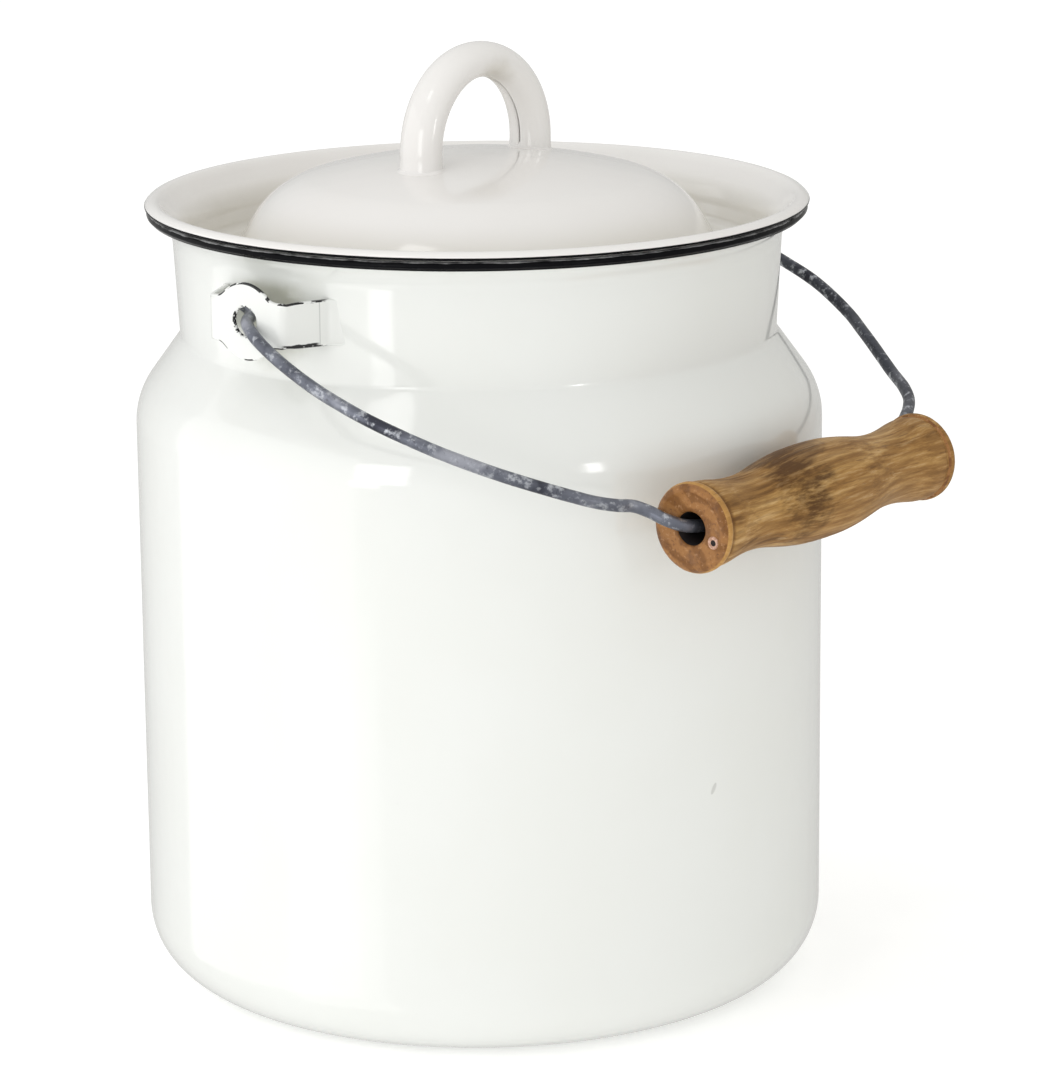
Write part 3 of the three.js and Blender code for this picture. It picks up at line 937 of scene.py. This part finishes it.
def lid_upper():
    """The lid's upper face, from the middle of the dome out to the crest and round its edge."""
    seat_r = FLARE_R + SHEET + GAP + LID_SHEET
    edge_top, edge_end = 90 - DOME_CROWN_TURN, 90 - DOME_SIDE_SLOPE
    top, end = math.radians(edge_top), math.radians(edge_end)
    crown_z = DOME_TOP_Z - DOME_CROWN_R
    edge_r = (DOME_CROWN_R - DOME_EDGE_R) * math.cos(top)
    edge_z = crown_z + (DOME_CROWN_R - DOME_EDGE_R) * math.sin(top)
    side_r = edge_r + DOME_EDGE_R * math.cos(end)
    side_z = edge_z + DOME_EDGE_R * math.sin(end)
    fillet_z = LID_WELL_Z + WELL_FILLET
    fall = side_z - fillet_z + WELL_FILLET * math.sin(end)
    fillet_r = side_r + WELL_FILLET * math.cos(end) + fall * math.tan(end)
    return [
        *arc(0, crown_z, DOME_CROWN_R, 90, edge_top, 24),
        *arc(edge_r, edge_z, DOME_EDGE_R, edge_top, edge_end, 18)[1:],
        *arc(fillet_r, fillet_z, WELL_FILLET, 180 + edge_end, 270, 8),
        *arc(LID_WELL_OUTER_R - WELL_FILLET, fillet_z, WELL_FILLET, -90, 0, 8),
        *arc(NECK_TOP_R + FLARE_R, NECK_TOP_Z, seat_r, 180, 132, 10),
        *[(LID_CREST_R + out, LID_CREST_Z + up) for out, up in LID_CREST_OUTLINE],
        (LID_RIM_R, LID_CREST_Z - LID_RIM_DROP),
    ]


def lid_shell():
    upper = lid_upper()
    lower = offset_left(upper, -LID_SHEET)[: -len(LID_CREST_OUTLINE) - 1]
    lower[0] = (0, lower[0][1])
    under = [
        *[(BEAD_CENTRE_R + out, BEAD_CENTRE_Z + up) for out, up in OVER_BEAD_OUTLINE],
        (LID_RIM_R - 0.3, BEAD_CENTRE_Z + 2.1),
        (LID_RIM_R - 0.05, LID_CREST_Z - 1.45),
    ]
    profile = refine(lower + under + upper[::-1], 3)

    def pressed(angle, r, z):
        if r < 20:
            return 0
        x, y = math.cos(angle), math.sin(angle)
        return 0.05 * ripple(x * 2.1, y * 2.1, r / 30 + z / 40) - 0.03

    return revolve("enamel_lid", profile, SHEET_STEPS, pressed)


def lid_edge():
    """The thin black edge that runs under the lid's crest."""
    low, high = EDGE_LOW.z + 0.02, LID_CREST_Z - LID_EDGE_DROP
    middle = (low + high) / 2
    half = (high - low) / 2
    inner = BEAD_CENTRE_R - 0.9
    section = [(inner, high), (inner, low)]
    section += arc(EDGE_HIGH.x - half - 0.02, middle, half, -90, 90, 14)
    section += [(inner, high)]

    def lumps(angle, r, z):
        x, y = math.cos(angle), math.sin(angle)
        return 0.05 * ripple(x * 11, y * 11, 3.7) - 0.05

    return revolve("lid_black_edge", section, BEAD_STEPS, lumps)


def dome_height(r):
    return DOME_TOP_Z - DOME_CROWN_R + math.sqrt(DOME_CROWN_R**2 - r**2)


def lid_handle():
    """A strap rolled into an oval tube, bent to an arch, with its open seam on the inside."""
    top_z = ARCH_HIGH.z - ARCH_HALF_THICK
    bend_z = top_z - ARCH_HALF_SPAN
    foot_z = dome_height(ARCH_HALF_SPAN + ARCH_HALF_THICK) - 1.5
    line = [Vector((-ARCH_HALF_SPAN, 0, foot_z + (bend_z - foot_z) * i / 8)) for i in range(8)]
    for x, z in arc(0, bend_z, ARCH_HALF_SPAN, 180, 0, 72):
        line.append(Vector((x, 0, z)))
    line += [Vector((ARCH_HALF_SPAN, 0, bend_z + (foot_z - bend_z) * i / 8)) for i in range(1, 9)]

    def section(share, index):
        # The seam is narrowest at the top of the bend and widens towards the feet.
        open_half = ARCH_SEAM_HALF * (0.75 + 0.35 * abs(2 * share - 1) + 0.12 * ripple(share * 14, 2.2, 0))
        flare = 1 + 0.05 * max(0.0, abs(2 * share - 1) - 0.86) / 0.14
        points = []
        lip = math.asin(min(0.9, (open_half + 0.25) / ARCH_HALF_WIDTH))
        for k in range(ARCH_OUTER_STEPS + 1):
            a = lip + (TAU - 2 * lip) * k / ARCH_OUTER_STEPS
            points.append((ARCH_HALF_THICK * math.cos(a) * flare, ARCH_HALF_WIDTH * math.sin(a) * flare))
        thin, wide = ARCH_HALF_THICK - ARCH_SHEET, ARCH_HALF_WIDTH - ARCH_SHEET
        edge_u = ARCH_HALF_THICK * math.cos(lip)
        lip_round = [(edge_u - 0.12, open_half + 0.08), (edge_u - 0.45, open_half)]
        lip_round.append((thin * 0.985, open_half + 0.1))
        points += [(u, -v) for u, v in lip_round]
        inner_lip = math.asin(min(0.9, (open_half + 0.4) / wide))
        for k in range(ARCH_INNER_STEPS + 1):
            a = TAU - inner_lip - (TAU - 2 * inner_lip) * k / ARCH_INNER_STEPS
            points.append((thin * math.cos(a), wide * math.sin(a)))
        return points + lip_round[::-1]

    return sweep("rolled_arch_handle", line, section, Vector((0, 1, 0)))


def foot_fillet(name, x):
    """The enamel that fills the corner between a leg of the handle and the dome."""
    vertices, faces = [], []
    steps, rows = 72, 9
    for k in range(steps):
        a = TAU * k / steps
        out = Vector((ARCH_HALF_WIDTH * math.cos(a), ARCH_HALF_THICK * math.sin(a))).normalized()
        grow = ARCH_FILLET * (1 + 0.18 * ripple(math.cos(a) * 2 + x, math.sin(a) * 2, 0))
        for j in range(rows + 1):
            turn = math.radians(90 * j / rows)
            spread = grow * (1 - math.cos(turn)) - 0.25
            rise = grow * (1 - math.sin(turn)) * 0.95
            px = x + ARCH_HALF_THICK * math.cos(a) + out.x * spread
            py = ARCH_HALF_WIDTH * math.sin(a) + out.y * spread
            vertices.append((px, py, dome_height(math.hypot(px, py)) - 0.12 + rise))
        px = x + (ARCH_HALF_THICK - 1) * math.cos(a)
        py = (ARCH_HALF_WIDTH - 1) * math.sin(a)
        vertices.append((px, py, dome_height(math.hypot(px, py)) - 0.5))
    ring = rows + 2
    for k in range(steps):
        n = (k + 1) % steps
        for j in range(ring):
            m = (j + 1) % ring
            faces.append([k * ring + j, n * ring + j, n * ring + m, k * ring + m])
    piece = mesh_object(name, vertices, faces)
    drop_loose(piece)
    return piece


# ---- bail


def bail_matrix():
    """From the bail's own plane, x along the pivot line and -y towards the grip, to its rest place."""
    return Matrix.Translation((0, 0, PIVOT_Z)) @ Matrix.Rotation(math.radians(BAIL_DROP), 4, "X")


def bail_wire():
    left = [(-x, -y, 0) for x, y in HOOK + LEFT_ARM]
    right = [(x, -y, 0) for x, y in HOOK + RIGHT_ARM]
    middle = (GRIP_AXIS.x, -GRIP_REACH, 0)
    line = catmull([*left, middle, *right[::-1]], 0.9)
    move = bail_matrix()
    last = len(line) - 1
    bent = []
    for i, p in enumerate(line):
        # The arms were bent over the hand, so they wander a little between the ears and the grip.
        free = min(1.0, max(0.0, (-p.y - 8) / 15)) * min(1.0, max(0.0, (108 + p.y) / 12))
        inwards = -math.copysign(0.1 + abs(ripple(i / 34, 0.3, 5)) * 0.4, p.x)
        sag, sway = ripple(i / 34, 7.7, 5) * WIRE_WANDER, ripple(i / 30, 3.1, 9) * WIRE_WANDER
        wander = Vector((inwards, sag, sway))
        bent.append(move @ (p + wander * free))

    def section(share, index):
        scale = 1 + 0.02 * ripple(index / 6, 1.3, 0)
        if index in (0, last):
            scale *= 0.8
        if index in (1, last - 1):
            scale *= 0.97
        points = []
        for k in range(WIRE_SIDES):
            angle = TAU * k / WIRE_SIDES
            dent = 1 + 0.012 * ripple(k / 3, index / 9, 4)
            radius = (WIRE_R - 0.02) * scale
            points.append((radius * math.cos(angle) * dent, radius * math.sin(angle)))
        return points

    across = move.to_3x3() @ Vector((0, 0, 1))
    return sweep("galvanised_bail_wire", bent, section, across)


def wood_grip():
    """The grip turned on a lathe: end beads, grooves, two waists and a full middle, bored through."""
    half = [(r * GRIP_R / GRIP_HALF_R, u) for u, r in GRIP_HALF]
    smooth = [(p.x, p.y) for p in catmull([(r, u, 0) for r, u in half], 0.35)]
    mirrored = [(r, GRIP_LENGTH - u) for r, u in smooth[-2::-1]]
    face_near = [(9.3, 0), (8.9, 0.3), (8.4, 0.44), (5.2, 0.46), (BORE_R + 0.35, 0.5), (BORE_R, 0.85)]
    face_far = [(r, GRIP_LENGTH - u) for r, u in face_near]
    bore = refine([face_far[-1], face_near[-1]], 6)
    profile = smooth + mirrored + face_far + bore[1:-1] + face_near[::-1] + [smooth[0]]

    def carved(angle, r, z):
        if r <= BORE_R + 1:
            return 0.06 * ripple(math.cos(angle) * 3, math.sin(angle) * 3, z / 5)
        x, y = math.cos(angle), math.sin(angle)
        return 0.09 * ripple(x * 1.5, y * 1.5, z / 22) - 0.09 + 0.025 * ripple(x * 8, y * 8, z / 30)

    piece = revolve("turned_wooden_grip", profile, GRIP_STEPS, carved)
    # The turned piece stands on Z; lay it along X on the bail's middle.
    left_end = (GRIP_LOW.x * MM, GRIP_AXIS.y * MM, GRIP_AXIS.z * MM)
    piece.data.transform(Matrix.Translation(left_end) @ Matrix.Rotation(math.pi / 2, 4, "Y"))
    for polygon in piece.data.polygons:
        from_axis = (polygon.center.yz - GRIP_AXIS.yz * MM).length / MM
        # The bore's faces take the near-black painted shade.
        if from_axis < BORE_R + 0.12:
            polygon.material_index = 2
        elif abs(polygon.normal.x) > 0.6:
            polygon.material_index = 1
    return piece


def pin_hole():
    """The small drilled hole beside the bore, with its raised pale lip."""
    centre = Vector((GRIP_LOW.x + 0.42, GRIP_AXIS.y - 6.9, GRIP_AXIS.z - 2.5))
    floor = [(0, 0.02), (0.76, 0.02)]
    lip = [(0.86, 0.2), (1, 0.33), (1.2, 0.36), (1.45, 0.24), (1.7, -0.1)]
    back = [(1.7, -0.3), (0, -0.3)]
    piece = revolve("grip_pin_hole", (floor + lip + back)[::-1], 40)
    for polygon in piece.data.polygons:
        # The hole's floor takes the near-black painted shade of the bore.
        if polygon.center.xy.length < 0.78 * MM:
            polygon.material_index = 1
    piece.data.transform(Matrix.Translation(centre * MM) @ Matrix.Rotation(-math.pi / 2, 4, "Y"))
    return piece


# ---- build


def stands_for(piece, body, node, slot, *materials):
    for material in materials:
        piece.data.materials.append(material)
    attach(piece, body)
    if node:
        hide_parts(node)


def build_object():
    white = enamel_white("white_enamel_body", mark=wall_marks)
    ear_white = enamel_white("white_enamel_ear", mark=bare_ramp_edges)
    lid_white = enamel_white("white_enamel_lid", LID_WHITE, LID_WHITE_WARM, well_shade)
    arch_white = enamel_white("white_enamel_handle", LID_WHITE, LID_WHITE_WARM, arch_crook_shade, 1.25)
    black = enamel_black("black_enamel_edge")
    cut_edge = enamel_cut_edge("broken_enamel_edge")
    stands_for(pail_shell(), "pail", "pail_shell", "white_enamel", white)
    # The mouth's bead carries a painted grey highlight along its top.
    mouth_black = enamel_black("black_enamel_mouth", BEAD_CENTRE_Z + 0.85)
    stands_for(mouth_bead(), "pail", "mouth_bead", "black_enamel", mouth_black)
    for name, node, turn in (("strap_ear_right", "ear_right", 0), ("strap_ear_left", "ear_left", math.pi)):
        ear = ear_mesh(name)
        ear.data.transform(Matrix.Rotation(turn, 4, "Z"))
        stands_for(ear, "pail", node, "white_enamel", ear_white, cut_edge)
    stands_for(lid_shell(), "lid", "lid_shell", "white_enamel", lid_white)
    stands_for(lid_edge(), "lid", "lid_edge_bead", "black_enamel", black)
    stands_for(lid_handle(), "lid", "lid_handle", "white_enamel", arch_white)
    for name, x in (("handle_foot_left", -ARCH_HALF_SPAN), ("handle_foot_right", ARCH_HALF_SPAN)):
        stands_for(foot_fillet(name, x), "lid", None, "white_enamel", arch_white)
    stands_for(bail_wire(), "bail", "bail_wire", "galvanised_wire", zinc_wire("galvanised_wire"))
    wood, ends = turned_wood("turned_wood"), end_grain("end_grain")
    dark = bore_shade("painted_bore_shade")
    stands_for(wood_grip(), "grip", "wood_grip", "turned_wood", wood, ends, dark)
    stands_for(pin_hole(), "grip", None, "turned_wood", pin_lip("pin_lip"), dark)


def build_stage():
    mesh = bpy.data.meshes.new("floor")
    corners = [(x * FLOOR_REACH, y * FLOOR_REACH, 0) for x, y in ((-1, -1), (1, -1), (1, 1), (-1, 1))]
    mesh.from_pydata(corners, [], [[0, 1, 2, 3]])
    floor = scene_object("floor", mesh)
    mesh.materials.append(floor_paper("floor_paper"))
    floor.visible_glossy = False


def softbox(name, azimuth, elevation, distance, wide, high, radiance):
    """A rectangular light that looks at the pail, unseen by the camera."""
    light = bpy.data.lights.new(name, "AREA")
    light.shape = "RECTANGLE"
    light.size = 2 * distance * math.tan(math.radians(wide / 2))
    light.size_y = 2 * distance * math.tan(math.radians(high / 2))
    light.energy = radiance * math.pi * light.size * light.size_y
    lamp = scene_object(name, light)
    lamp.visible_camera = False
    a, e = math.radians(CAMERA_AZIMUTH + azimuth), math.radians(elevation)
    target = Vector((0, 0, 0.13))
    back = Vector((math.sin(a) * math.cos(e), -math.cos(a) * math.cos(e), math.sin(e)))
    lamp.location = target + back * distance
    lamp.rotation_euler = back.to_track_quat("Z", "Y").to_euler()


def build_light():
    world = bpy.data.worlds.new("studio")
    bpy.context.scene.world = world
    world.use_nodes = True
    nodes, links = world.node_tree.nodes, world.node_tree.links
    direction = nodes.new("ShaderNodeTexCoord").outputs["Generated"]
    a = math.radians(CAMERA_AZIMUTH + BRIGHT_SIDE)

    def facing(way, lowest):
        dot = nodes.new("ShaderNodeVectorMath")
        dot.operation = "DOT_PRODUCT"
        dot.inputs[1].default_value = way
        links.new(direction, dot.inputs[0])
        share = nodes.new("ShaderNodeMapRange")
        share.inputs["From Min"].default_value = lowest
        links.new(dot.outputs["Value"], share.inputs["Value"])
        return share.outputs["Result"]

    def times_plus(value, factor, rest):
        node = nodes.new("ShaderNodeMath")
        node.operation = "MULTIPLY_ADD"
        links.new(value, node.inputs[0])
        node.inputs[1].default_value = factor
        if isinstance(rest, float):
            node.inputs[2].default_value = rest
        else:
            links.new(rest, node.inputs[2])
        return node.outputs[0]

    side = facing((math.sin(a), -math.cos(a), 0), -1)
    above = facing((0, 0, 1), 0)
    level = times_plus(above, ROOM_ABOVE, times_plus(side, ROOM_SIDE, ROOM_LEVEL))
    tint = nodes.new("ShaderNodeValToRGB")
    tint.color_ramp.elements[0].color = (*ROOM_TINT_DIM, 1)
    tint.color_ramp.elements[1].color = (*ROOM_TINT, 1)
    links.new(side, tint.inputs["Fac"])
    links.new(tint.outputs["Color"], nodes["Background"].inputs["Color"])
    links.new(level, nodes["Background"].inputs["Strength"])
    for name, values in LIGHTS.items():
        softbox(name, *values)


def build_camera():
    data = bpy.data.cameras.new("camera")
    data.lens = CAMERA_LENS
    data.sensor_width = CAMERA_SENSOR
    data.clip_start = 0.01
    data.clip_end = 50
    camera = scene_object("camera", data)
    bpy.context.scene.camera = camera
    a = math.radians(CAMERA_AZIMUTH)
    outwards = Vector((math.sin(a), -math.cos(a), 0))
    camera.location = (outwards * CAMERA_DISTANCE + Vector((0, 0, CAMERA_HEIGHT))) * MM
    turn = Matrix.Rotation(a - math.radians(CAMERA_YAW), 4, "Z")
    dip = Matrix.Rotation(math.radians(90 - CAMERA_DIP), 4, "X")
    roll = Matrix.Rotation(math.radians(CAMERA_ROLL), 4, "Z")
    camera.rotation_euler = (turn @ dip @ roll).to_euler()


build_camera()
build_object()
build_stage()
build_light()
bpy.context.scene.view_settings.view_transform = "Standard"
